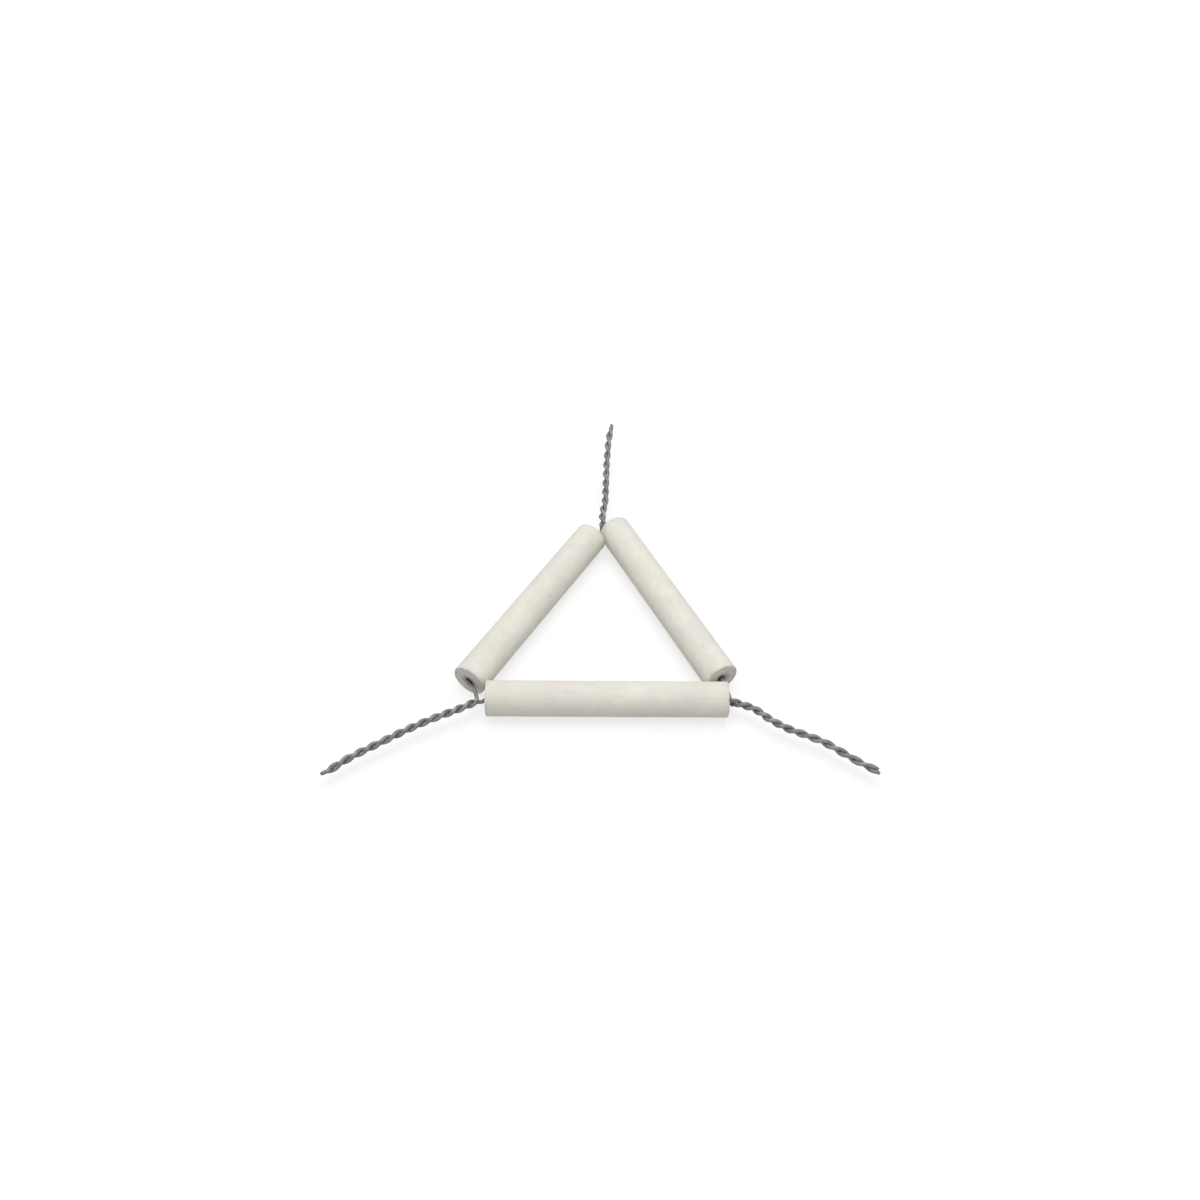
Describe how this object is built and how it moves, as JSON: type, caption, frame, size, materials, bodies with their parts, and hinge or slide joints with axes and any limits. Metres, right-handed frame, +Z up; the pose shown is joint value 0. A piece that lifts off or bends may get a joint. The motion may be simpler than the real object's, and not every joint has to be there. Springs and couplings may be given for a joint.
{
  "type": "pipe clay triangle",
  "caption": "Triangle of loose clay tubes threaded on iron wires that are twisted together at the corners into legs; it lies on a ring or tripod and holds a crucible.",
  "frame": {"origin": "on the bench plane, under the centre of the largest round thing that drops between the tubes", "axes": "+Z up out of the bench, +X along the front tube towards the right leg, +Y away from the front tube towards the back leg"},
  "size_m": [0.1329, 0.1254, 0.009],
  "materials": {
    "clay": "unglazed, fired, cream white, matt, with faint specks and grey end faces",
    "iron_wire": "dull galvanised iron wire, mid grey, matt"
  },
  "bodies": {
    "wires": {"front_wire": "iron_wire", "left_wire": "iron_wire", "right_wire": "iron_wire"},
    "front_tube": {"front_tube": "clay"},
    "left_tube": {"left_tube": "clay"},
    "right_tube": {"right_tube": "clay"}
  },
  "joints": [
    {"name": "front_tube_turn", "type": "hinge", "parent": "wires", "child": "front_tube", "pos_m": [0.00155, -0.02081, 0.0045], "axis": [-1, 0, 0], "continuous": true},
    {"name": "left_tube_turn", "type": "hinge", "parent": "wires", "child": "left_tube", "pos_m": [-0.01802, 0.01043, 0.0045], "axis": [0.5067, 0.8621, 0], "continuous": true},
    {"name": "right_tube_turn", "type": "hinge", "parent": "wires", "child": "right_tube", "pos_m": [0.01698, 0.01256, 0.0045], "axis": [0.4501, -0.893, 0], "continuous": true}
  ]
}
